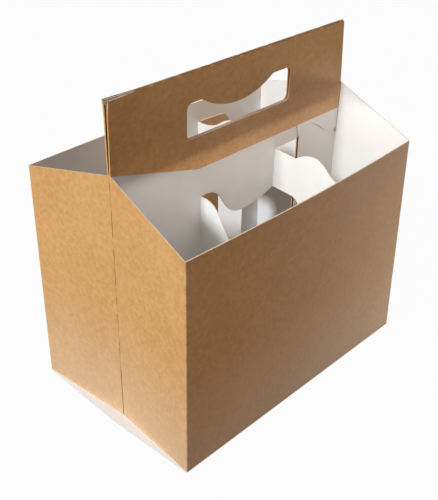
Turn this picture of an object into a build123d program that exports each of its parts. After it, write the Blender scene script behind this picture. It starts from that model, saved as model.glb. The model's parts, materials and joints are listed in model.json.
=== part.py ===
"""Six-bottle carrier, cut, creased, folded and glued from one sheet of kraft board.

Frame: millimetres, +Z up, origin on the base at the middle of the outer box.
X runs along the handle, from the left end to the right end, and Y from front to back.
The sheet is kraft brown on its outside and clay white on its inside. Front and back
are mirror images, and all folds are glued or held, so the carrier is one solid.
"""

import os

from build123d import *

# Board
board = 0.6
fold_radius = 0.9

# Walls
wall_length = 201.0
carrier_width = 130.0
wall_height = 152.0
end_peak_height = 171.0
left_end_dip = 5.0
right_end_bow = 2.5

# Base
base_lap = 38.0
seam_cut_height = 46.0
seam_cut_width = 0.5

# Handle: two folded pairs of plies, back to back
handle_height = 215.5
handle_top_short = 4.5
handle_foot_short = 1.3
apron_height = 152.5
apron_slope_run = 65.0
handle_fold_radius = 0.5

# Hand hole, a rounded slot with a palm rest that hangs from its top edge
hand_hole_length = 88.0
hand_hole_height = 22.2
hand_hole_below_top = 19.8
hand_hole_corner = 4.0
palm_rest_length = 60.0
palm_rest_drop = 9.4
palm_rest_blend = 3.0

# Middle partition, under the handle
partition_bottom = 40.0
first_cell_length = 67.0
cell_pitch = 66.5

# Flaps folded in from the right end, between the two partition plies
end_flap_length = 41.5
end_flap_bottom = 45.0
end_flap_top = 150.0
end_flap_hinge_top = 133.0
end_flap_bevel = 14.0
ply_step_back = 3.0

# First pair of straps
strap_1_hinge_top = 133.0
strap_1_waist_top = 109.5
strap_1_wall_top = 115.0
strap_1_bottom = 78.0
strap_1_shoulder = 6.0
strap_1_waist_place = 37.0
tab_1_length = 25.0

# Second pair of straps
strap_2_hinge_top = 141.7
strap_2_crown_top = 147.3
strap_2_wall_top = 137.5
strap_2_bottom = 100.0
strap_2_shoulder = 19.0
strap_2_crown_place = 37.0
strap_2_heel = 5.0
tab_2_length = 29.0
tab_2_bottom = 52.0

# Tongue that hangs from every strap, where the bottles touch
tongue_start = 25.0
tongue_length = 22.0
tongue_bottom_1 = 48.0
tongue_bottom_2 = 50.0
cut_corner = 8.0

# Places worked out from the sizes above
x_left = -(wall_length + right_end_bow) / 2
x_left_crease = x_left + left_end_dip
x_right = x_left + wall_length
x_right_crease = x_right + right_end_bow
x_hinge_1 = x_left_crease + first_cell_length
x_hinge_2 = x_hinge_1 + cell_pitch
x_handle_top = x_right_crease - handle_top_short
x_handle_foot = x_right_crease - handle_foot_short
x_flap_edge = x_right_crease - end_flap_length
half_width = carrier_width / 2
strap_reach = half_width - board
last_cell = x_right_crease - x_hinge_2
handle_middle = (x_left_crease + x_handle_top) / 2

FRONT = -1
BACK = 1


def upright(face, y_from, y_to):
    """Extrude a profile drawn as X, Z between two Y places."""
    sheet = Plane.XZ * face
    return Pos(0, y_to, 0) * extrude(sheet, y_to - y_from)


def make_walls():
    """Four walls as one ring, with both ends creased at mid-width and peaked on top."""
    outline = Polyline(
        (x_left_crease, 0),
        (x_left, -half_width),
        (x_right, -half_width),
        (x_right_crease, 0),
        (x_right, half_width),
        (x_left, half_width),
        close=True,
    )
    outer = make_face(outline)
    outer = fillet(outer.vertices(), fold_radius)
    inner = offset(outer, -board)
    ring = extrude(outer - inner, end_peak_height)
    gable = make_face(
        Polyline(
            (-half_width, 0),
            (half_width, 0),
            (half_width, wall_height),
            (0, end_peak_height),
            (-half_width, wall_height),
            close=True,
        )
    )
    prism = Pos(-wall_length, 0, 0) * extrude(Plane.YZ * gable, 2 * wall_length)
    seam_cut = Pos(x_left_crease, 0, board + seam_cut_height / 2) * Box(
        4 * board, seam_cut_width, seam_cut_height
    )
    return ring & prism - seam_cut


def make_base():
    """Flat base panel with the glue lap of the back wall lying on it."""
    corners = Align.MIN, Align.MIN, Align.MIN
    panel = Pos(x_left, -half_width, 0) * Box(
        wall_length, carrier_width, board, align=corners
    )
    panel = fillet(panel.edges().filter_by(Axis.X).group_by(Axis.Z)[0], board * 0.8)
    inside = wall_length - 2 * board
    lap = Pos(x_left + board, half_width - board - base_lap, board) * Box(
        inside, base_lap, board, align=corners
    )
    return panel + lap


def strap_1_band():
    """Flat outline of a first strap, with its hinge on X = 0."""
    waist = (strap_1_waist_place, strap_1_waist_top)
    shoulder = (strap_1_shoulder, strap_1_hinge_top)
    top = Line((0, strap_1_hinge_top), shoulder)
    fall = Spline(
        shoulder,
        ((shoulder[0] + waist[0]) / 2 - 2, (shoulder[1] + waist[1]) / 2 + 1),
        waist,
        tangents=[(1, -0.1), (1, 0)],
    )
    rise = TangentArc(waist, (cell_pitch, strap_1_wall_top), tangent=(1, 0))
    rest = Polyline(
        (cell_pitch, strap_1_wall_top),
        (cell_pitch, strap_1_bottom),
        (0, strap_1_bottom),
        (0, strap_1_hinge_top),
    )
    return make_face([top, fall, rise, rest])


def strap_2_band():
    """Flat outline of a second strap, with its hinge on X = 0."""
    shoulder = (strap_2_shoulder, strap_2_hinge_top)
    crown = (strap_2_crown_place, strap_2_crown_top)
    heel = (last_cell - strap_2_heel, strap_2_wall_top)
    top = Line((0, strap_2_hinge_top), shoulder)
    arch = Spline(shoulder, crown, heel, tangents=[(1, 0.6), (1, -0.1)])
    rest = Polyline(
        heel,
        (last_cell, strap_2_wall_top),
        (last_cell, strap_2_bottom),
        (0, strap_2_bottom),
        (0, strap_2_hinge_top),
    )
    return make_face([top, arch, rest])


def tongue(strap_bottom, tongue_bottom):
    """Flat outline of a strap's tongue, rounded at its foot and let into the strap."""
    height = strap_bottom + cut_corner - tongue_bottom
    place = Pos(tongue_start + tongue_length / 2, tongue_bottom + height / 2)
    return place * RectangleRounded(tongue_length, height, cut_corner)


def tab(tab_length, tab_bottom, tab_top):
    """Flat outline of a glue tab that starts on X = 0, rounded at its free end."""
    height = tab_top - tab_bottom
    sheet = Pos(tab_length / 2, tab_bottom + height / 2) * Rectangle(tab_length, height)
    return fillet(sheet.vertices().group_by(Axis.X)[-1], cut_corner)


def flat_parts():
    """Flat outlines of strap 1, tab 1, strap 2 and tab 2, each from its own hinge."""
    tab_1 = tab(tab_1_length, strap_1_bottom, strap_1_wall_top)
    tab_2 = tab(tab_2_length, tab_2_bottom, strap_2_wall_top)
    strap_1 = strap_1_band() + tongue(strap_1_bottom, tongue_bottom_1)
    strap_2 = strap_2_band() + tongue(strap_2_bottom, tongue_bottom_2) - tab_1
    return strap_1, tab_1, strap_2, tab_2


def make_partition():
    """Partition and handle plies, with the straps' outlines cut out of them."""
    strap_1, tab_1, strap_2, _ = flat_parts()
    inside_left = x_left_crease + board / 2
    plies = make_face(
        Polyline(
            (inside_left, partition_bottom),
            (x_handle_foot, partition_bottom),
            (x_handle_foot, end_peak_height),
            (x_handle_top, handle_height - board),
            (inside_left, handle_height - board),
            close=True,
        )
    )
    x_step = x_flap_edge - ply_step_back
    over_flaps = Pos((x_step + x_handle_foot) / 2, (partition_bottom + apron_height) / 2)
    over_flaps *= Rectangle(x_handle_foot - x_step, apron_height - partition_bottom)
    cut_outs = [
        Pos(x_hinge_1, 0) * strap_1,
        Pos(x_hinge_2, 0) * tab_1,
        Pos(x_hinge_2, 0) * strap_2,
    ]
    body = upright(plies, -board, board) + upright(over_flaps, -2 * board, 2 * board)
    for outline in cut_outs:
        body -= upright(outline, -3 * board, 3 * board)
    return body


def make_end_flaps():
    """Two flaps of the right end that reach in between the partition plies."""
    outline = make_face(
        Polyline(
            (x_flap_edge, end_flap_bottom),
            (x_right_crease - board / 2, end_flap_bottom),
            (x_right_crease - board / 2, end_flap_hinge_top),
            (x_right_crease - end_flap_bevel, end_flap_top),
            (x_flap_edge, end_flap_top),
            close=True,
        )
    )
    return upright(outline, -board, board)


def make_handle():
    """Front and back handle pairs, each rounded along its top fold, with the hand hole."""
    outline = make_face(
        Polyline(
            (x_left_crease, end_peak_height),
            (x_left_crease + apron_slope_run, apron_height),
            (x_handle_foot, apron_height),
            (x_handle_foot, end_peak_height),
            (x_handle_top, handle_height),
            (x_left_crease, handle_height),
            close=True,
        )
    )
    pairs = []
    for y_from, y_to in ((-2 * board, 0), (0, 2 * board)):
        pair = upright(outline, y_from, y_to)
        fold_edges = pair.edges().filter_by(Axis.X).group_by(Axis.Z)[-1]
        pairs.append(fillet(fold_edges, handle_fold_radius))
    return pairs[0] + pairs[1]


def hand_hole():
    """Cutter for the hand hole through all plies of the handle."""
    hole_top = handle_height - hand_hole_below_top
    middle = Pos(handle_middle, hole_top - hand_hole_height / 2)
    slot = middle * RectangleRounded(hand_hole_length, hand_hole_height, hand_hole_corner)
    rest_start = (handle_middle - palm_rest_length / 2, hole_top)
    rest_end = (handle_middle + palm_rest_length / 2, hole_top)
    palm_rest = make_face(
        [
            SagittaArc(rest_start, rest_end, -palm_rest_drop),
            Line(rest_end, rest_start),
        ]
    )
    if palm_rest.center().Y > hole_top:
        palm_rest = mirror(palm_rest, Plane.XZ.offset(-hole_top))
    outline = slot - palm_rest
    blends = outline.vertices().group_by(Axis.Y)[-1].sort_by(Axis.X)[1:-1]
    outline = fillet(blends, palm_rest_blend)
    return upright(outline, -4 * board, 4 * board)


def make_strap(flat_strap, flat_tab, x_hinge, side):
    """One strap swung out to a wall, with its glue tab lying on that wall."""
    swung = Plane.YZ * (Rectangle(2 * strap_reach, 2 * handle_height) & flat_strap)
    strap = Pos(x_hinge, 0, 0) * extrude(swung, board)
    wall_face = half_width - board
    glued = Pos(x_hinge, 0) * flat_tab
    lap = upright(glued, wall_face - board, half_width - board / 2)
    piece = strap + lap
    return piece if side == BACK else mirror(piece, Plane.XZ)


def make_carrier():
    """Whole carrier as one solid."""
    strap_1, tab_1, strap_2, tab_2 = flat_parts()
    body = make_walls() + make_base() + make_partition() + make_end_flaps()
    body += make_handle()
    for side in (FRONT, BACK):
        body += make_strap(strap_1, tab_1, x_hinge_1, side)
        body += make_strap(strap_2, tab_2, x_hinge_2, side)
    return body - hand_hole()


carrier = make_carrier()
carrier.label = "carrier"

os.makedirs("parts", exist_ok=True)
export_step(carrier, "parts/carrier.step")
print("solids", len(carrier.solids()), "valid", carrier.is_valid)
print("volume", round(carrier.volume, 1), "area", round(carrier.area, 1))
print("box", carrier.bounding_box().min, carrier.bounding_box().max)
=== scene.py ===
"""Looks of a six-bottle carrier that is cut, creased and folded from one sheet of board.

The board is kraft brown on its outside, clay white on its inside, and pale along its
cut edges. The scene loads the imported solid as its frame, models the sprung and creased
board over it, and lights it with one soft lamp from the left over a pale floor, and
with small ones where the board would throw light back on itself.
"""

import json
import logging
import math
from dataclasses import dataclass, field
from enum import Enum
from typing import Iterable

import bpy
from mathutils import Matrix, Vector

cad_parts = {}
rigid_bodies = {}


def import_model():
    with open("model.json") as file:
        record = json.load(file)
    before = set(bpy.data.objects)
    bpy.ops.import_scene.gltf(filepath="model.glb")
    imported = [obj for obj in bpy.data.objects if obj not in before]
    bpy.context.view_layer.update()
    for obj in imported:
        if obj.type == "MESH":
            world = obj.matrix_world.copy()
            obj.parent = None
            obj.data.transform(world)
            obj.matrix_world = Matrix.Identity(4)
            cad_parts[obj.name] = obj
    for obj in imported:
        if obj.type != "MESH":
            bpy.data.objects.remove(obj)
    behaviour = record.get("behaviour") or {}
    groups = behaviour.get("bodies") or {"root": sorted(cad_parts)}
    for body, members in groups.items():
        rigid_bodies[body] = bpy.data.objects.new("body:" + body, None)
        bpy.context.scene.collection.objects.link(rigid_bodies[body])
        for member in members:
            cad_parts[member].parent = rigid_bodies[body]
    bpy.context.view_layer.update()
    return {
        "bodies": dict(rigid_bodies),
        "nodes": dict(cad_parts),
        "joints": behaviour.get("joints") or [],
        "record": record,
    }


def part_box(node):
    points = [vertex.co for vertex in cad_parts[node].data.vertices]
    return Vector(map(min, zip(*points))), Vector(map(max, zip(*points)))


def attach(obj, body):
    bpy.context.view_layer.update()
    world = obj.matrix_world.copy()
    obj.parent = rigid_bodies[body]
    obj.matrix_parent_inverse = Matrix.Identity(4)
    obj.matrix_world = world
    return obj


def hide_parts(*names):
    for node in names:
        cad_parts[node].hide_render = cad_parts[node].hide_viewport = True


LOG = logging.getLogger("carrier")
MM = 0.001
NEAR = 0.05 * MM
WHITE = (1.0, 1.0, 1.0, 1.0)
REST_PLACE = "rest_place"


class Side(Enum):
    """What a face of the board shows, as the number of its material slot."""

    KRAFT = 0
    CLAY = 1
    CUT = 2


class Axis(Enum):
    """A direction of the frame, as the index of its coordinate."""

    X = 0
    Y = 1
    Z = 2


class Socket:
    """A shader value that Python's operators work on by adding Math nodes."""

    def __init__(self, shader: "Shader", output: bpy.types.NodeSocket) -> None:
        """Wrap one output socket of a shader's tree."""
        self.shader = shader
        self.output = output

    def math(self, operation: str, *values: "Socket | float") -> "Socket":
        """Add one Math node.

        Args:
            operation: the Math node's operation, such as "ADD".
            values: its inputs in order.

        Returns:
            The node's value.
        """
        inputs = dict(enumerate(values))
        return self.shader.node("ShaderNodeMath", {"operation": operation}, inputs)

    def __add__(self, other: "Socket | float") -> "Socket":
        """Sum of two values."""
        return self.math("ADD", self, other)

    def __radd__(self, other: float) -> "Socket":
        """Sum with a number on the left."""
        return self.math("ADD", other, self)

    def __sub__(self, other: "Socket | float") -> "Socket":
        """Difference of two values."""
        return self.math("SUBTRACT", self, other)

    def __rsub__(self, other: float) -> "Socket":
        """Difference from a number on the left."""
        return self.math("SUBTRACT", other, self)

    def __mul__(self, other: "Socket | float") -> "Socket":
        """Product of two values."""
        return self.math("MULTIPLY", self, other)

    def __rmul__(self, other: float) -> "Socket":
        """Product with a number on the left."""
        return self.math("MULTIPLY", other, self)

    def __abs__(self) -> "Socket":
        """Size of the value without its sign."""
        return self.math("ABSOLUTE", self)

    def highest(self, other: "Socket | float") -> "Socket":
        """The larger of two values."""
        return self.math("MAXIMUM", self, other)


class Shader:
    """The node tree of a material or of the world."""

    def __init__(self, owner: bpy.types.Material | bpy.types.World) -> None:
        """Empty the owner's node tree."""
        owner.use_nodes = True
        self.owner = owner
        self.tree = owner.node_tree
        self.tree.nodes.clear()

    @classmethod
    def material(cls, name: str) -> "Shader":
        """Start an empty material of that name."""
        return cls(bpy.data.materials.new(name))

    def node(
        self, kind: str, settings: dict, inputs: dict, output: int | str = 0
    ) -> Socket:
        """Add any node, its settings first, then its sockets.

        Args:
            kind: the node's type.
            settings: its settings, by name.
            inputs: values or sockets, by input name or number.
            output: which output is returned.

        Returns:
            That output.
        """
        node = self.tree.nodes.new(kind)
        for name, value in settings.items():
            setattr(node, name, value)
        for name, value in inputs.items():
            if isinstance(value, Socket):
                self.tree.links.new(value.output, node.inputs[name])
            else:
                node.inputs[name].default_value = value
        return Socket(self, node.outputs[output] if node.outputs else None)

    def ramp(self, value: Socket, low: float, high: float) -> Socket:
        """Smooth step of a value from 0 at low to 1 at high."""
        settings = {"interpolation_type": "SMOOTHSTEP"}
        inputs = {"Value": value, "From Min": low, "From Max": high}
        return self.node("ShaderNodeMapRange", settings, inputs)

    def noise(
        self,
        place: Socket,
        size: float,
        detail: float = 2.0,
        stretch: tuple[float, float, float] = (1.0, 1.0, 1.0),
    ) -> Socket:
        """Noise over the board.

        Args:
            place: where on the board.
            size: size of one blotch in metres.
            detail: how many finer layers lie on it.
            stretch: how much longer a blotch is along each axis.

        Returns:
            A value of about 0.5 on average.
        """
        scale = tuple(1.0 / (size * factor) for factor in stretch)
        mapped = self.node("ShaderNodeMapping", {}, {"Vector": place, "Scale": scale})
        inputs = {"Vector": mapped, "Scale": 1.0, "Detail": detail, "Roughness": 0.55}
        return self.node("ShaderNodeTexNoise", {}, inputs, "Fac")

    def mix(self, factor: Socket | float, first: object, second: object) -> Socket:
        """Colour between two colours."""
        settings = {"data_type": "RGBA"}
        return self.node("ShaderNodeMix", settings, {0: factor, 6: first, 7: second}, 2)

    def rest_place(self) -> Socket:
        """Where a point lay on the flat-sided carrier, before the board sprang."""
        settings = {"attribute_name": REST_PLACE}
        return self.node("ShaderNodeAttribute", settings, {}, "Vector")

    def parts(self, vector: Socket) -> tuple[Socket, Socket, Socket]:
        """The three numbers of a vector."""
        node = self.tree.nodes.new("ShaderNodeSeparateXYZ")
        self.tree.links.new(vector.output, node.inputs[0])
        return tuple(Socket(self, node.outputs[axis.value]) for axis in Axis)

    def surface(self, shader: Socket) -> bpy.types.Material:
        """Join a surface shader to the output and give the finished material."""
        self.node("ShaderNodeOutputMaterial", {}, {"Surface": shader})
        return self.owner


@dataclass(frozen=True)
class CarrierSizes:
    """Sizes of the folded carrier in metres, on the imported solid's own frame.

    Core is the handle and the partition at mid-width, with a small margin.
    """

    board: float = 0.6 * MM
    core_half: float = 2.3 * MM
    wall_length: float = 201.0 * MM
    half_width: float = 65.0 * MM
    wall_height: float = 152.0 * MM
    peak_height: float = 171.0 * MM
    handle_height: float = 215.5 * MM
    left_dip: float = 5.0 * MM
    right_bow: float = 2.5 * MM
    apron_height: float = 152.5 * MM
    apron_run: float = 65.0 * MM
    first_cell: float = 67.0 * MM
    cell_pitch: float = 66.5 * MM
    tab_lengths: tuple[float, float] = (25.0 * MM, 29.0 * MM)
    tab_bottoms: tuple[float, float] = (78.0 * MM, 52.0 * MM)
    tab_tops: tuple[float, float] = (115.0 * MM, 137.5 * MM)
    partition_bottom: float = 40.0 * MM
    flap_length: float = 41.5 * MM
    flap_top: float = 150.0 * MM
    ply_step_back: float = 3.0 * MM
    seam_top: float = 46.6 * MM
    base_lap: float = 38.0 * MM
    hole_ends: tuple[float, float] = (-43.75 * MM, 44.25 * MM)
    hole_low: float = 173.5 * MM
    hole_high: float = 195.7 * MM

    @property
    def wall_middle(self) -> float:
        """X of the long walls' middle."""
        return -self.right_bow / 2

    @property
    def wall_left(self) -> float:
        """X of the left end's corner folds."""
        return self.wall_middle - self.wall_length / 2

    @property
    def left_crease(self) -> float:
        """X of the left end's crease at mid-width."""
        return self.wall_left + self.left_dip

    @property
    def right_crease(self) -> float:
        """X of the right end's crease at mid-width."""
        return self.wall_left + self.wall_length + self.right_bow

    @property
    def flap_edge(self) -> float:
        """X of the free edges of the right end's two flaps."""
        return self.right_crease - self.flap_length

    @property
    def hinges(self) -> tuple[float, float]:
        """X of both pairs of straps' hinges."""
        first = self.left_crease + self.first_cell
        return first, first + self.cell_pitch

    def apron_edge(self, x: float) -> float:
        """Height of the handle's lower kraft edge at a place along it."""
        share = min(max((x - self.left_crease) / self.apron_run, 0.0), 1.0)
        return self.peak_height + share * (self.apron_height - self.peak_height)


@dataclass(frozen=True)
class KraftFinish:
    """Uncoated kraft brown board: blotched, with short fibres and pale worn folds."""

    name: str = "kraft_outside"
    pale: tuple = (0.72, 0.40, 0.155, 1.0)
    dark: tuple = (0.58, 0.30, 0.10, 1.0)
    worn: tuple = (0.80, 0.56, 0.32, 1.0)
    # painted shade: the dark colour laid in the board's gaps and slits
    gap_shade_colour: tuple = (0.17, 0.08, 0.03, 1.0)
    # painted sheen: the pale colour that the foot takes from the floor's reflection
    floor_sheen: tuple = (0.92, 0.80, 0.66, 1.0)
    # painted cool light: the grey that the kraft takes on its right-hand stretch
    cool_light_grey: tuple = (0.55, 0.60, 0.62, 1.0)
    cloud_size: float = 34.0 * MM
    blotch_size: float = 3.2 * MM
    fibre_size: float = 0.7 * MM
    fibre_stretch: tuple[float, float, float] = (2.5, 2.5, 1.0)
    speck_size: float = 0.9 * MM
    speck_share: float = 0.25
    wear_share: float = 0.5
    # painted sheen at the foot: the levels over which it fades out
    sheen_levels: tuple[float, float] = (-20.0 * MM, 95.0 * MM)
    sheen_share: float = 0.28
    # painted cool light from the right: where it grows along the board and fades upwards
    cool_light_run: tuple[float, float] = (-90.0 * MM, 60.0 * MM)
    cool_light_levels: tuple[float, float] = (175.0 * MM, 200.0 * MM)
    cool_light_share: float = 0.15
    seam_levels: tuple[float, float] = (39.5 * MM, 40.5 * MM)
    # share of the painted shade in the gaps
    gap_shade_share: float = 0.9

    def build(self, sizes: CarrierSizes) -> bpy.types.Material:
        """Make the material.

        Args:
            sizes: the carrier's sizes, which place the worn folds.

        Returns:
            The finished material.
        """
        shader = Shader.material(self.name)
        place = shader.rest_place()
        clouds = shader.noise(place, self.cloud_size, 2.0)
        blotches = shader.noise(place, self.blotch_size, 4.0)
        fibres = shader.noise(place, self.fibre_size, 2.0, self.fibre_stretch)
        specks = shader.ramp(shader.noise(place, self.speck_size, 1.0), 0.70, 0.80)
        tone = shader.ramp(0.2 * clouds + 0.5 * blotches + 0.3 * fibres, 0.34, 0.66)
        colour = shader.mix(tone, self.dark, self.pale)
        colour = shader.mix(specks * self.speck_share, colour, self.dark)
        # painted sheen: the foot of the walls paled towards white
        colour = shader.mix(self.foot_sheen(shader, place), colour, self.floor_sheen)
        # painted cool light: the board greyed to the right and below the handle
        colour = shader.mix(self.cool_light_stretch(shader, place), colour, self.cool_light_grey)
        wear = self.fold_wear(shader, place, sizes)
        colour = shader.mix(wear, colour, self.worn)
        # painted shade: dark lines in the open seam, between the handle's pairs and along
        # its top fold
        colour = shader.mix(self.gap_shade(shader, place, sizes), colour, self.gap_shade_colour)
        relief = 0.6 * fibres + 0.4 * blotches
        bump = {"Height": relief, "Strength": 0.18, "Distance": 0.25 * MM}
        inputs = {
            "Base Color": colour,
            "Roughness": 0.62 + 0.12 * blotches,
            "Specular IOR Level": 0.22,
            "Normal": shader.node("ShaderNodeBump", {}, bump),
        }
        return shader.surface(shader.node("ShaderNodeBsdfPrincipled", {}, inputs))

    def fold_wear(self, shader: Shader, place: Socket, sizes: CarrierSizes) -> Socket:
        """Mask of the pale, broken wear along the walls' corner folds.

        Args:
            shader: the tree that the mask is built in.
            place: where on the board.
            sizes: the carrier's sizes.

        Returns:
            A value from 0 to the wear's share.
        """
        x, y, _ = shader.parts(place)
        in_board = sizes.board / 2
        to_end = abs(abs(x - sizes.wall_middle) - (sizes.wall_length / 2 - in_board))
        to_wall = abs(abs(y) - (sizes.half_width - in_board))
        corner = 1.0 - shader.ramp(to_end.highest(to_wall), 0.2 * MM, 0.9 * MM)
        broken = shader.ramp(shader.noise(place, 3.5 * MM, 3.0), 0.42, 0.6)
        return corner * broken * self.wear_share

    def foot_sheen(self, shader: Shader, place: Socket) -> Socket:
        """Mask of a painted sheen: the board paler towards its foot, strongest at the
        base's edge, as if the pale floor shone on it.
        """
        _, _, z = shader.parts(place)
        return (1.0 - shader.ramp(z, *self.sheen_levels)) * self.sheen_share

    def cool_light_stretch(self, shader: Shader, place: Socket) -> Socket:
        """Mask of painted cool light: the board greyer to the right and below the handle,
        where light from the right falls.
        """
        x, _, z = shader.parts(place)
        along = shader.ramp(x, *self.cool_light_run)
        return along * (1.0 - 0.8 * shader.ramp(z, *self.cool_light_levels)) * self.cool_light_share

    def gap_shade(
        self, shader: Shader, place: Socket, sizes: CarrierSizes
    ) -> Socket:
        """Mask of painted shade: dark lines in the open seam's gap, between the handle's
        two pairs, along its top fold, and broken along the crease between.

        Args:
            shader: the tree that the mask is built in.
            place: where on the board.
            sizes: the carrier's sizes.

        Returns:
            A value from 0 to the lines' share.
        """
        _, y, z = shader.parts(place)
        head, peak = sizes.handle_height, sizes.peak_height
        top = shader.ramp(z, head - 0.9 * MM, head)
        broken = shader.ramp(shader.noise(place, 9 * MM, 2.0), 0.25, 0.5)
        gap = 1.0 - shader.ramp(abs(y), 0.2 * MM, 0.35 * MM)
        gap = gap * shader.ramp(z, 0.7 * MM, 1.0 * MM)
        closed = shader.ramp(z, *self.seam_levels)
        closed = closed * (1.0 - shader.ramp(z, peak, peak + 1 * MM))
        gap = gap * (1.0 - closed * (1.0 - 0.35 * broken))
        return (top * broken).highest(gap) * self.gap_shade_share


@dataclass(frozen=True)
class ClayFinish:
    """Clay-coated white inside of the board: smooth, faintly clouded."""

    name: str = "clay_inside"
    body: tuple = (0.785, 0.785, 0.775, 1.0)
    shade: tuple = (0.755, 0.75, 0.735, 1.0)
    cloud_size: float = 30.0 * MM
    grain_size: float = 1.2 * MM

    def build(self, sizes: CarrierSizes) -> bpy.types.Material:
        """Make the material.

        Args:
            sizes: the carrier's sizes; not used.

        Returns:
            The finished material.
        """
        shader = Shader.material(self.name)
        place = shader.rest_place()
        clouds = shader.noise(place, self.cloud_size)
        grain = shader.noise(place, self.grain_size)
        tone = shader.ramp(0.8 * clouds + 0.2 * grain, 0.35, 0.6)
        colour = shader.mix(tone, self.shade, self.body)
        bump = {"Height": grain, "Strength": 0.08, "Distance": 0.15 * MM}
        inputs = {
            "Base Color": colour,
            "Roughness": 0.55 + 0.1 * grain,
            "Specular IOR Level": 0.25,
            "Normal": shader.node("ShaderNodeBump", {}, bump),
        }
        return shader.surface(shader.node("ShaderNodeBsdfPrincipled", {}, inputs))


@dataclass(frozen=True)
class CutFinish:
    """Cut edge of the board, where its pale fibre core shows."""

    name: str = "cut_edge"
    body: tuple = (0.80, 0.67, 0.50, 1.0)
    core: tuple = (0.68, 0.51, 0.34, 1.0)
    fray_size: float = 1.5 * MM

    def build(self, sizes: CarrierSizes) -> bpy.types.Material:
        """Make the material.

        Args:
            sizes: the carrier's sizes; not used.

        Returns:
            The finished material.
        """
        shader = Shader.material(self.name)
        place = shader.rest_place()
        fray = shader.noise(place, self.fray_size, 3.0)
        colour = shader.mix(shader.ramp(fray, 0.35, 0.65), self.core, self.body)
        bump = {"Height": fray, "Strength": 0.3, "Distance": 0.2 * MM}
        inputs = {
            "Base Color": colour,
            "Roughness": 0.85,
            "Specular IOR Level": 0.1,
            "Normal": shader.node("ShaderNodeBump", {}, bump),
        }
        return shader.surface(shader.node("ShaderNodeBsdfPrincipled", {}, inputs))


@dataclass(frozen=True)
class Sheet:
    """One flat stretch of the board: the box that it fills and which way it faces."""

    low: tuple[float, float, float]
    high: tuple[float, float, float]
    axis: Axis
    kraft_sign: int

    def holds(self, place: Vector) -> bool:
        """Whether a point lies in the sheet's box."""
        return all(a <= p <= b for a, p, b in zip(self.low, place, self.high))

    def side(self, normal: Vector) -> Side:
        """What a face of the sheet shows.

        Args:
            normal: the face's outward normal.

        Returns:
            Cut edge where it is square to the sheet, else kraft or clay.
        """
        facing = normal[self.axis.value] * self.kraft_sign
        if abs(facing) < 0.5:
            return Side.CUT
        return Side.KRAFT if facing > 0 else Side.CLAY


@dataclass(frozen=True)
class Drift:
    """How far one upright fold of the walls stands from its flat-sided place.

    Attributes:
        end: -1 for the left end, 1 for the right end.
        side: -1 for the front wall, 0 for the crease at mid-width, 1 for the back wall.
        foot: how far its foot moves, as X and Y in metres.
        head: how far its head moves, as X and Y in metres.
    """

    end: int
    side: int
    foot: tuple[float, float]
    head: tuple[float, float]


def smooth(value: float, low: float, high: float) -> float:
    """Smooth step from 0 at low to 1 at high."""
    share = min(max((value - low) / (high - low), 0.0), 1.0)
    return share * share * (3 - 2 * share)


def plateau(value: float, low: float, high: float, fade: float) -> float:
    """1 between low and high, fading to 0 on both sides."""
    return smooth(value, low - fade, low) * (1.0 - smooth(value, high, high + fade))


@dataclass(frozen=True)
class Cut:
    """One box cut out of the board, narrowed to a line at its foot where it is a wedge."""

    low: tuple[float, float, float]
    high: tuple[float, float, float]
    wedge: bool = False

    def build(self) -> bpy.types.Object:
        """Make the cutter.

        Returns:
            A closed box or wedge.
        """
        low, high = Vector(self.low), Vector(self.high)
        bpy.ops.object.select_all(action="DESELECT")
        bpy.ops.mesh.primitive_cube_add(size=1.0, location=(low + high) / 2)
        cutter = bpy.context.active_object
        cutter.scale = high - low
        bpy.ops.object.transform_apply(location=True, scale=True)
        if self.wedge:
            middle = (low + high) / 2
            for vertex in cutter.data.vertices:
                if vertex.co.z < middle.z:
                    vertex.co.y = middle.y + 0.1 * (vertex.co.y - middle.y)
        return cutter


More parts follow.
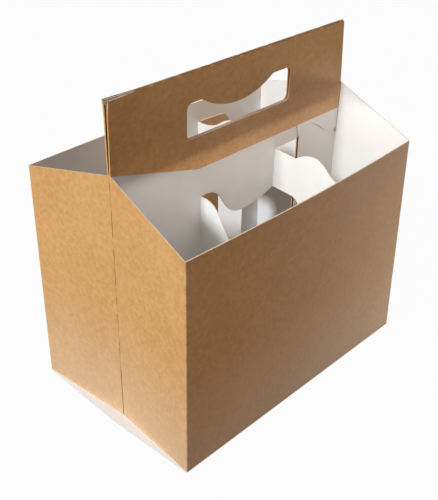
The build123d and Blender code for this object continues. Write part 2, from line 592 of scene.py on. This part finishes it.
@dataclass
class CarrierBoard:
    """The whole folded sheet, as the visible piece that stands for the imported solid.

    A bow is how far a long wall's top stands out at mid-length, a splay or spread how
    far plies part, and a reach how far along the board a change has faded out.
    """

    frame: dict
    sizes: CarrierSizes = field(default_factory=CarrierSizes)
    name: str = "carrier_board"
    node: str = "carrier"
    grid_step: float = 12.0 * MM
    merge_distance: float = 0.004 * MM
    smooth_angle: float = math.radians(10)
    front_bow: float = -2.5 * MM
    back_bow: float = 3.0 * MM
    bow_start: float = 0.6
    highest_lean: float = 1.2
    pair_gap_half: float = 0.2 * MM
    splay: float = 0.45 * MM
    splay_reach: float = 12.0 * MM
    splay_rise: float = 15.0 * MM
    loop_width: float = 2.2 * MM
    loop_depth: float = 6.5 * MM
    loop_start: float = 4.0 * MM
    loop_reach: float = 24.0 * MM
    hollow_sides: tuple[float, float] = (0.3 * MM, 0.9 * MM)
    hollow_roof: float = 0.5 * MM
    base_point: float = 2.6 * MM
    crown_drop: float = 1.5 * MM
    crown_reach: float = 15.0 * MM
    hole_shift: float = 2.45 * MM
    hole_side: float = 6.0 * MM
    hole_side_fade: float = 7.0 * MM
    hole_level_fade: float = 8.0 * MM
    arch_rise: float = 1.4 * MM
    arch_levels: tuple[float, float] = (144.0 * MM, 148.0 * MM)
    arch_fade: float = 4.5 * MM
    arch_sides: tuple[float, float] = (40.0 * MM, 62.0 * MM)
    arch_end: tuple[float, float] = (14.0 * MM, 4.0 * MM)
    seam_end: float = 39.7 * MM
    flap_gap_half: float = 0.12 * MM
    flap_half: float = 0.7 * MM
    ply_step_left: float = 0.4 * MM
    flap_spread: float = 0.55 * MM
    flap_spread_reach: float = 9.0 * MM
    crease_depth: float = 1.5 * MM
    crease_half: float = 0.4 * MM
    crease_slit_half: float = 0.15 * MM
    crease_slits: tuple[tuple[float, float], ...] = (
        (49.0 * MM, 60.0 * MM),
        (70.0 * MM, 80.0 * MM),
        (87.0 * MM, 92.0 * MM),
        (101.0 * MM, 112.0 * MM),
        (117.0 * MM, 125.0 * MM),
        (133.0 * MM, 149.0 * MM),
        (162.0 * MM, 167.0 * MM),
    )
    fold_slit_pitch: float = 24.0 * MM
    fold_slit_length: float = 3.5 * MM
    fold_slit_depth: float = 0.7 * MM
    fold_slit_sides: tuple[float, float] = (0.5 * MM, 1.3 * MM)
    drifts: tuple[Drift, ...] = (
        Drift(-1, -1, (0.0, 0.0), (-2.2 * MM, -0.8 * MM)),
        Drift(-1, 0, (-1.0 * MM, -2.8 * MM), (0.0, 0.0)),
        Drift(-1, 1, (-2.7 * MM, 0.0), (0.3 * MM, 5.1 * MM)),
        Drift(1, -1, (2.9 * MM, 0.0), (-4.6 * MM, 1.1 * MM)),
        Drift(1, 1, (1.0 * MM, 0.0), (-2.0 * MM, 2.0 * MM)),
    )
    sheet_list: list[Sheet] = field(default_factory=list, init=False)
    rest_places: list[Vector] = field(default_factory=list, init=False)

    def build(self) -> bpy.types.Object:
        """Model and dress the board.

        Returns:
            The finished piece.
        """
        piece = self.copy_solid()
        self.cut_out(piece)
        self.cut_grid(piece)
        self.keep_rest_place(piece)
        self.dress(piece)
        self.spring(piece)
        self.soften(piece)
        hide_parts(self.node)
        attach(piece, "root")
        return piece

    def copy_solid(self) -> bpy.types.Object:
        """Copy the solid's mesh and merge its loose triangles.

        Returns:
            The copy, with no finish yet.
        """
        bpy.ops.object.select_all(action="DESELECT")
        mesh = self.frame["nodes"][self.node].data.copy()
        mesh.name = self.name
        mesh.materials.clear()
        piece = bpy.data.objects.new(self.name, mesh)
        bpy.context.scene.collection.objects.link(piece)
        piece.select_set(True)
        bpy.context.view_layer.objects.active = piece
        bpy.ops.object.mode_set(mode="EDIT")
        bpy.ops.mesh.select_all(action="SELECT")
        bpy.ops.mesh.remove_doubles(threshold=self.merge_distance)
        bpy.ops.object.mode_set(mode="OBJECT")
        return piece

    def cuts(self) -> Iterable[Cut]:
        """The slits, gaps and hollows of the folded sheet.

        Returns:
            The cuts, in the order in which they are made.
        """
        s = self.sizes
        left, gap_shade_colour = s.left_crease, self.crease_depth
        half = self.crease_slit_half
        for low, high in self.crease_slits:
            yield Cut((left - gap_shade_colour, -half, low), (left + gap_shade_colour, half, high))
        for sign in (-1, 1):
            yield from self.handle_cuts(sign)
        half = self.pair_gap_half
        low = (left - 1 * MM, -half, s.peak_height + 0.3 * MM)
        yield Cut(low, (left + self.splay_reach, half, s.handle_height - 3 * MM))
        half = self.flap_gap_half
        low = (s.flap_edge - 2 * NEAR, -half, s.partition_bottom - 1 * MM)
        high = (s.flap_edge + self.flap_spread_reach, half, s.flap_top - 2 * NEAR)
        yield Cut(low, high)

    def handle_cuts(self, sign: int) -> Iterable[Cut]:
        """The hollow in one folded loop of the handle, and the short slits in its fold.

        Args:
            sign: -1 for the front pair of plies, 1 for the back pair.

        Returns:
            The hollow, then the slits from left to right.
        """
        s = self.sizes
        left, top = s.left_crease, s.handle_height
        y = sorted(sign * side for side in self.hollow_sides)
        low = (left - 1 * MM, y[0], top - self.loop_depth)
        high = (left + self.loop_reach, y[1], top - self.hollow_roof)
        yield Cut(low, high, wedge=True)
        y = sorted(sign * side for side in self.fold_slit_sides)
        count = int((s.right_crease - left) / self.fold_slit_pitch) - 1
        for step in range(1, count + 1):
            x = left + self.loop_reach + step * self.fold_slit_pitch
            low = (x, y[0], top - self.fold_slit_depth)
            yield Cut(low, (x + self.fold_slit_length, y[1], top + 1 * MM))

    def cut_out(self, piece: bpy.types.Object) -> None:
        """Cut the slits, gaps and hollows out of the board.

        Args:
            piece: the board.
        """
        for cut in self.cuts():
            cutter = cut.build()
            tool = piece.modifiers.new("cut", "BOOLEAN")
            tool.operation = "DIFFERENCE"
            tool.solver = "EXACT"
            tool.object = cutter
            bpy.ops.object.select_all(action="DESELECT")
            piece.select_set(True)
            bpy.context.view_layer.objects.active = piece
            bpy.ops.object.modifier_apply(modifier=tool.name)
            bpy.data.objects.remove(cutter)

    def cut_grid(self, piece: bpy.types.Object) -> None:
        """Cut the wide faces into a grid, so that the board can bow.

        Args:
            piece: the board.
        """
        low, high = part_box(self.node)
        bpy.ops.object.mode_set(mode="EDIT")
        for axis in Axis:
            start, end = low[axis.value], high[axis.value]
            count = int((end - start) / self.grid_step)
            step = (end - start) / (count + 1)
            places = [start + number * step for number in range(1, count + 1)]
            if axis is Axis.Z:
                places.append(self.sizes.apron_height)
            for value in places:
                self.cut(axis, value)
        bpy.ops.object.mode_set(mode="OBJECT")

    @staticmethod
    def cut(axis: Axis, value: float) -> None:
        """Cut all faces of the piece in edit mode along one plane.

        Args:
            axis: the axis that the plane is square to.
            value: where the plane crosses it.
        """
        normal = Matrix.Identity(3)[axis.value]
        bpy.ops.mesh.select_all(action="SELECT")
        bpy.ops.mesh.bisect(plane_co=normal * value, plane_no=normal, threshold=1e-7)

    @staticmethod
    def keep_rest_place(piece: bpy.types.Object) -> None:
        """Store where each point lies before the board springs, for the finishes.

        Args:
            piece: the board, still flat-sided.
        """
        mesh = piece.data
        stored = mesh.attributes.new(REST_PLACE, "FLOAT_VECTOR", "POINT")
        for vertex, entry in zip(mesh.vertices, stored.data):
            entry.vector = vertex.co

    def sheets(self) -> Iterable[Sheet]:
        """The flat stretches whose two sides differ, apart from walls and handle.

        Returns:
            Tabs and straps first, then both halves of the partition.
        """
        s = self.sizes
        inner = s.half_width - s.board
        beside_core = 1.3 * MM
        for sign in (-1, 1):
            for n, hinge in enumerate(s.hinges):
                y = sorted((sign * (inner - s.board - NEAR), sign * (inner - NEAR)))
                yield Sheet(
                    (hinge - NEAR, y[0], s.tab_bottoms[n] - NEAR),
                    (hinge + s.tab_lengths[n] + NEAR, y[1], s.tab_tops[n] + NEAR),
                    Axis.Y,
                    -sign,
                )
                y = sorted((sign * beside_core, sign * (inner - NEAR)))
                yield Sheet(
                    (hinge - NEAR, y[0], 3 * s.board),
                    (hinge + s.board + NEAR, y[1], s.wall_height),
                    Axis.X,
                    1,
                )
        for sign in (-1, 1):
            y = sorted((0.0, sign * s.core_half))
            yield Sheet(
                (s.left_crease - NEAR, y[0], s.partition_bottom - NEAR),
                (s.right_crease - s.board, y[1], s.peak_height),
                Axis.Y,
                -sign,
            )

    def side_of(self, place: Vector, normal: Vector) -> Side:
        """What one face of the flat-sided carrier shows.

        Args:
            place: the face's middle.
            normal: its outward normal.

        Returns:
            Kraft, clay or cut edge.
        """
        s = self.sizes
        outwards = normal.y * math.copysign(1.0, place.y)
        depth = abs(place.y)
        if depth < s.core_half and place.z > s.apron_edge(place.x) - NEAR:
            if place.x > s.left_crease - NEAR:
                return self.handle_side(place, normal, outwards)
        on_left_end = place.x < s.left_crease + 2 * NEAR and place.z > s.board
        if on_left_end and normal.x < -0.9:
            return Side.KRAFT
        for sheet in self.sheet_list:
            if sheet.holds(place):
                return sheet.side(normal)
        if place.z < 2 * s.board + NEAR and abs(normal.z) > 0.5:
            return Side.KRAFT if normal.z < 0 else Side.CLAY
        past_ends = abs(place.x - s.wall_middle) > s.wall_length / 2 - 2 * NEAR
        if place.z < s.board and past_ends:
            return Side.CLAY
        if self.by_crease(place):
            return Side.KRAFT
        if depth > s.half_width - s.board - NEAR and abs(outwards) > 0.5:
            return Side.KRAFT if outwards > 0 else Side.CLAY
        if abs(place.x) > -s.left_crease - self.crease_depth and abs(normal.x) > 0.5:
            return Side.KRAFT if normal.x * place.x > 0 else Side.CLAY
        return Side.CUT

    def handle_side(self, place: Vector, normal: Vector, outwards: float) -> Side:
        """What a face of the folded handle shows.

        Args:
            place: the face's middle.
            normal: its outward normal.
            outwards: the normal's share that points away from the mid-plane.

        Returns:
            Clay in the loops' hollows, cut edge round the hand hole, else kraft.
        """
        s = self.sizes
        if abs(normal.x) > 0.5:
            return Side.KRAFT
        low, high = self.hollow_sides
        in_hollow = place.z > s.handle_height - self.loop_depth
        in_hollow &= place.x < s.left_crease + self.loop_reach + 2 * NEAR
        in_hollow &= low - 2 * NEAR < abs(place.y) < high + 2 * NEAR
        if in_hollow and abs(normal.z) < 0.9:
            return Side.CLAY
        if place.z < s.handle_height - 1 * MM and abs(outwards) < 0.5:
            return Side.CUT
        return Side.KRAFT

    def dress(self, piece: bpy.types.Object) -> None:
        """Give every face its finish.

        Args:
            piece: the board, still flat-sided.
        """
        self.sheet_list = list(self.sheets())
        for finish in (KraftFinish(), ClayFinish(), CutFinish()):
            piece.data.materials.append(finish.build(self.sizes))
        for polygon in piece.data.polygons:
            side = self.side_of(polygon.center, polygon.normal)
            polygon.material_index = side.value

    def spring(self, piece: bpy.types.Object) -> None:
        """Bend the flat-sided board as the photographed one has sprung.

        Args:
            piece: the board.
        """
        self.rest_places = [vertex.co.copy() for vertex in piece.data.vertices]
        for vertex, rest in zip(piece.data.vertices, self.rest_places):
            vertex.co = self.settled(rest)
            vertex.co += self.drift(rest) + self.bow(rest)
        piece.data.update()

    def settled(self, rest: Vector) -> Vector:
        """Where a point lies once loops, slits, flaps and base have their true shape.

        Args:
            rest: the point on the flat-sided carrier.

        Returns:
            Its place before the walls lean and bow.
        """
        s = self.sizes
        place = rest.copy()
        if abs(rest.y) < s.core_half and rest.z > s.apron_height:
            self.shape_handle(rest, place)
        elif abs(rest.y) < s.core_half and rest.x > s.hinges[1]:
            self.shape_flaps(rest, place)
        if rest.x > s.hinges[1] - NEAR:
            place.z += self.arch_rise * self.arch_share(rest)
        at_seam = abs(rest.x - s.left_crease) < 1 * MM and abs(rest.y) < 0.3 * MM
        if at_seam and self.seam_end < rest.z < s.seam_top + NEAR:
            place.z = self.seam_end
        if rest.z < 2 * s.board + NEAR:
            self.shape_base(rest, place)
        return place

    def arch_share(self, rest: Vector) -> float:
        """How much of the second straps' higher crest a point takes.

        Args:
            rest: the point on the flat-sided carrier.

        Returns:
            A share from 0 to 1.
        """
        edge = self.sizes.right_crease
        start, end = (edge - distance for distance in self.arch_end)
        share = plateau(rest.z, *self.arch_levels, self.arch_fade)
        share *= 1.0 - smooth(rest.x, start, end)
        return share * (1.0 - smooth(abs(rest.y), *self.arch_sides))

    def shape_handle(self, rest: Vector, place: Vector) -> None:
        """Open the handle's loops and pairs at the left, and shift its hole and crown.

        Args:
            rest: the point on the flat-sided carrier.
            place: its place, which is changed.
        """
        s = self.sizes
        start = s.left_crease
        closed = smooth(rest.x, start + self.loop_start, start + self.loop_reach)
        rise = min(max((rest.z - s.handle_height) / self.loop_depth + 1.0, 0.0), 1.0)
        swell = self.loop_width / (2 * s.board) - 1.0
        place.y *= 1.0 + swell * (1.0 - closed) * rise
        splay = 1.0 - smooth(rest.x, start, start + self.splay_reach)
        splay *= smooth(rest.z, s.peak_height, s.peak_height + self.splay_rise)
        if abs(rest.y) > 2 * NEAR:
            place.y += math.copysign(self.splay * splay, rest.y)
        foot = s.handle_height - self.crown_reach
        place.z -= self.crown_drop * min(max((rest.z - foot) / self.crown_reach, 0.0), 1.0)
        low, high = s.hole_low - 1 * MM, s.hole_high + 1 * MM
        level = plateau(rest.z, low, high, self.hole_level_fade)
        for end in s.hole_ends:
            low, high = end - self.hole_side, end + self.hole_side
            beside = plateau(rest.x, low, high, self.hole_side_fade)
            place.x += self.hole_shift * beside * level

    def shape_flaps(self, rest: Vector, place: Vector) -> None:
        """Part the end flaps' free edges, and bring the outer plies' step up to them.

        Args:
            rest: the point on the flat-sided carrier.
            place: its place, which is changed.
        """
        s = self.sizes
        step = s.flap_edge - s.ply_step_back
        if abs(rest.x - step) < NEAR:
            place.x += s.ply_step_back - self.ply_step_left
        free = 1.0 - smooth(rest.x, s.flap_edge, s.flap_edge + self.flap_spread_reach)
        if rest.x > s.flap_edge - 0.3 * MM and NEAR < abs(rest.y) < self.flap_half:
            place.y += math.copysign(self.flap_spread * free, rest.y)

    def shape_base(self, rest: Vector, place: Vector) -> None:
        """Give the base its left point, and end it and its glue lap at the end walls.

        Args:
            rest: the point on the flat-sided carrier.
            place: its place, which is changed.
        """
        s = self.sizes
        across = min(abs(rest.y) / s.half_width, 1.0)
        wall = s.wall_left + s.left_dip * (1.0 - across)
        in_lap = rest.y > s.half_width - s.board - s.base_lap - NEAR
        if rest.z > 0.95 * s.board and in_lap and rest.x > s.wall_left + 0.9 * s.board:
            place.x = max(rest.x, wall)
            return
        if abs(rest.x - s.wall_left) < 0.5 * MM:
            place.x -= self.base_point * (1.0 - across)
        if abs(rest.x - s.wall_left - s.wall_length) < 0.5 * MM:
            place.x += max(s.right_bow * (1.0 - across) - 0.6 * s.board, 0.0)

    def drift(self, rest: Vector) -> Vector:
        """How far the walls' leaning folds carry a point.

        Args:
            rest: the point on the flat-sided carrier.

        Returns:
            The move, which fades from each fold to the next.
        """
        s = self.sizes
        along = min(max((rest.x - s.wall_left) / s.wall_length, 0.0), 1.0)
        across = min(abs(rest.y) / s.half_width, 1.0)
        up = min(rest.z / s.wall_height, self.highest_lean)
        side = -1 if rest.y < 0 else 1
        move = Vector((0.0, 0.0, 0.0))
        for fold in self.drifts:
            share = along if fold.end > 0 else 1.0 - along
            if fold.side == 0:
                share *= 1.0 - across
            else:
                share *= across if fold.side == side else 0.0
            x, y = (a + up * (b - a) for a, b in zip(fold.foot, fold.head))
            move += share * Vector((x, y, 0.0))
        return move

    def bow(self, rest: Vector) -> Vector:
        """How far the bowed long walls carry a point.

        Args:
            rest: the point on the flat-sided carrier.

        Returns:
            The move, none at the corners and the base, most at mid-length on top.
        """
        s = self.sizes
        share = min(max((rest.x - s.wall_left) / s.wall_length, 0.0), 1.0)
        across = smooth(abs(rest.y), self.bow_start * s.half_width, s.half_width)
        height = min(rest.z / s.wall_height, 1.0)
        push = self.front_bow if rest.y < 0 else self.back_bow
        return Vector((0.0, push * math.sin(math.pi * share) * across * height, 0.0))

    def soften(self, piece: bpy.types.Object) -> None:
        """Shade the folds round and leave the cut edges and the crease sharp.

        Args:
            piece: the board.
        """
        bpy.ops.object.select_all(action="DESELECT")
        piece.select_set(True)
        bpy.context.view_layer.objects.active = piece
        bpy.ops.object.shade_smooth_by_angle(angle=self.smooth_angle)
        for edge in piece.data.edges:
            ends = (self.rest_places[number] for number in edge.vertices)
            edge.use_edge_sharp |= all(self.by_crease(rest) for rest in ends)

    def by_crease(self, rest: Vector) -> bool:
        """Whether a point of the flat-sided board is at the left crease or its cuts."""
        along = abs(rest.x - self.sizes.left_crease) < self.crease_depth
        return along and abs(rest.y) < self.crease_half


@dataclass(frozen=True)
class Lamp:
    """One flat soft lamp.

    Attributes:
        name: its name.
        place: its middle in metres.
        target: the point that it faces.
        size: its two sides in metres.
        power: its power in watts.
        colour: its colour.
    """

    name: str
    place: tuple[float, float, float]
    target: tuple[float, float, float]
    size: tuple[float, float]
    power: float
    colour: tuple[float, float, float] = (1.0, 1.0, 1.0)

    def build(self) -> None:
        """Add the lamp, hidden from the camera."""
        light = bpy.data.lights.new(self.name, "AREA")
        light.shape = "RECTANGLE"
        light.size, light.size_y = self.size
        light.energy = self.power
        light.color = self.colour
        lamp = bpy.data.objects.new(self.name, light)
        lamp.location = self.place
        lamp.rotation_mode = "QUATERNION"
        aim = Vector(self.target) - Vector(self.place)
        lamp.rotation_quaternion = aim.to_track_quat("-Z", "Y")
        lamp.visible_camera = False
        bpy.context.scene.collection.objects.link(lamp)


@dataclass
class Studio:
    """Floor, light and camera of the photograph.

    Angles are in degrees and lengths in metres. The camera is fitted to the corners
    of the carrier as the photograph, 438 by 500 pixels, shows them.
    """

    azimuth: float = -47.89
    elevation: float = 33.03
    roll: float = 2.54
    distance: float = 534.68 * MM
    slide: tuple[float, float] = (6.0 * MM, -19.71 * MM)
    pivot: tuple[float, float, float] = (-1.25 * MM, 0.0, 110.0 * MM)
    focal_pixels: float = 838.81
    photo_size: tuple[int, int] = (438, 500)
    photo_centre: tuple[float, float] = (241.0, 243.0)
    sensor: float = 36.0
    floor_size: float = 6.0
    floor_white: float = 0.97
    sky_level: float = 0.29
    sky_colour: tuple = (1.0, 0.82, 0.78, 1.0)
    floor_colour: tuple = (0.12, 0.12, 0.12, 1.0)
    lamps: tuple[Lamp, ...] = (
        Lamp(
            "key_lamp",
            place=(-2.48, 0.0, 1.94),
            target=(-0.1, 0.0, 0.1),
            size=(0.38, 0.38),
            power=93.0,
            colour=(0.94, 1.0, 1.05),
        ),
        Lamp(
            "cell_lamp",
            place=(0.0, -0.033, 0.164),
            target=(0.0, -0.033, 0.0),
            size=(0.19, 0.05),
            power=0.025,
            colour=(1.0, 0.92, 0.82),
        ),
        Lamp(
            "back_lamp",
            place=(0.015, 0.012, 0.165),
            target=(0.015, 0.066, 0.15),
            size=(0.15, 0.03),
            power=0.01,
            colour=(1.0, 0.72, 0.40),
        ),
        Lamp(
            "fill_lamp",
            place=(0.26, -0.22, 0.03),
            target=(0.07, -0.065, 0.03),
            size=(0.2, 0.06),
            power=0.26,
        ),
    )

    def build(self) -> None:
        """Make the floor, the lamps, the world and the camera."""
        self.make_floor()
        self.make_lamps()
        self.make_world()
        self.make_camera()
        bpy.context.scene.view_settings.view_transform = "Standard"

    def make_floor(self) -> None:
        """Pale floor that shows white to the camera and keeps a faint shadow."""
        bpy.ops.object.select_all(action="DESELECT")
        bpy.ops.mesh.primitive_plane_add(size=self.floor_size, location=(0, 0, 0))
        floor = bpy.context.active_object
        floor.name = "studio_floor"
        shader = Shader.material("studio_floor")
        seen = self.seen_directly(shader)
        plain = shader.node("ShaderNodeBsdfDiffuse", {}, {"Color": self.floor_colour})
        glow = shader.node("ShaderNodeEmission", {}, {"Color": WHITE, "Strength": 1.0})
        inputs = {0: seen * self.floor_white, 1: plain, 2: glow}
        mixed = shader.node("ShaderNodeMixShader", {}, inputs)
        floor.data.materials.append(shader.surface(mixed))

    @staticmethod
    def seen_directly(shader: Shader) -> Socket:
        """Tell what is seen from what only lights the carrier.

        Args:
            shader: the tree that asks.

        Returns:
            1 for what the camera, a gloss or a clear body shows, else 0.
        """
        kind = "ShaderNodeLightPath"
        camera = shader.node(kind, {}, {}, "Is Camera Ray")
        gloss = shader.node(kind, {}, {}, "Is Glossy Ray")
        clear = shader.node(kind, {}, {}, "Is Transmission Ray")
        return camera.highest(gloss).highest(clear)

    def make_lamps(self) -> None:
        """Soft key from the left, small lamps over the cells and a low fill."""
        for lamp in self.lamps:
            lamp.build()

    def make_world(self) -> None:
        """White to the camera, and a dim even sky for the light."""
        world = bpy.data.worlds.new("studio")
        bpy.context.scene.world = world
        shader = Shader(world)
        seen = self.seen_directly(shader)
        strength = seen * (1.0 - self.sky_level) + self.sky_level
        colour = shader.mix(seen, self.sky_colour, WHITE)
        inputs = {"Color": colour, "Strength": strength}
        sky = shader.node("ShaderNodeBackground", {}, inputs)
        shader.node("ShaderNodeOutputWorld", {}, {"Surface": sky})

    def make_camera(self) -> None:
        """Camera at the photograph's place, angle and framing."""
        azimuth, elevation = math.radians(self.azimuth), math.radians(self.elevation)
        back = Vector(
            (
                math.sin(azimuth) * math.cos(elevation),
                -math.cos(azimuth) * math.cos(elevation),
                math.sin(elevation),
            )
        )
        right = Vector((math.cos(azimuth), math.sin(azimuth), 0.0))
        right = Matrix.Rotation(math.radians(self.roll), 3, back) @ right
        up = back.cross(right)
        data = bpy.data.cameras.new("photo_camera")
        width, height = self.photo_size
        data.sensor_width = self.sensor
        data.lens = self.focal_pixels * self.sensor / max(width, height)
        data.shift_x = (width / 2 - self.photo_centre[0]) / max(width, height)
        data.shift_y = (self.photo_centre[1] - height / 2) / max(width, height)
        camera = bpy.data.objects.new("photo_camera", data)
        place = Vector(self.pivot) + back * self.distance
        place += right * self.slide[0] + up * self.slide[1]
        turn = Matrix((right, up, back)).transposed().to_4x4()
        camera.matrix_world = Matrix.Translation(place) @ turn
        bpy.context.scene.collection.objects.link(camera)
        bpy.context.scene.camera = camera


def main() -> None:
    """Build the carrier and its studio."""
    logging.basicConfig(level=logging.INFO, format="%(name)s: %(message)s")
    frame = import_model()
    board = CarrierBoard(frame).build()
    LOG.info("%s has %d faces", board.name, len(board.data.polygons))
    Studio().build()


if __name__ == "__main__":
    main()
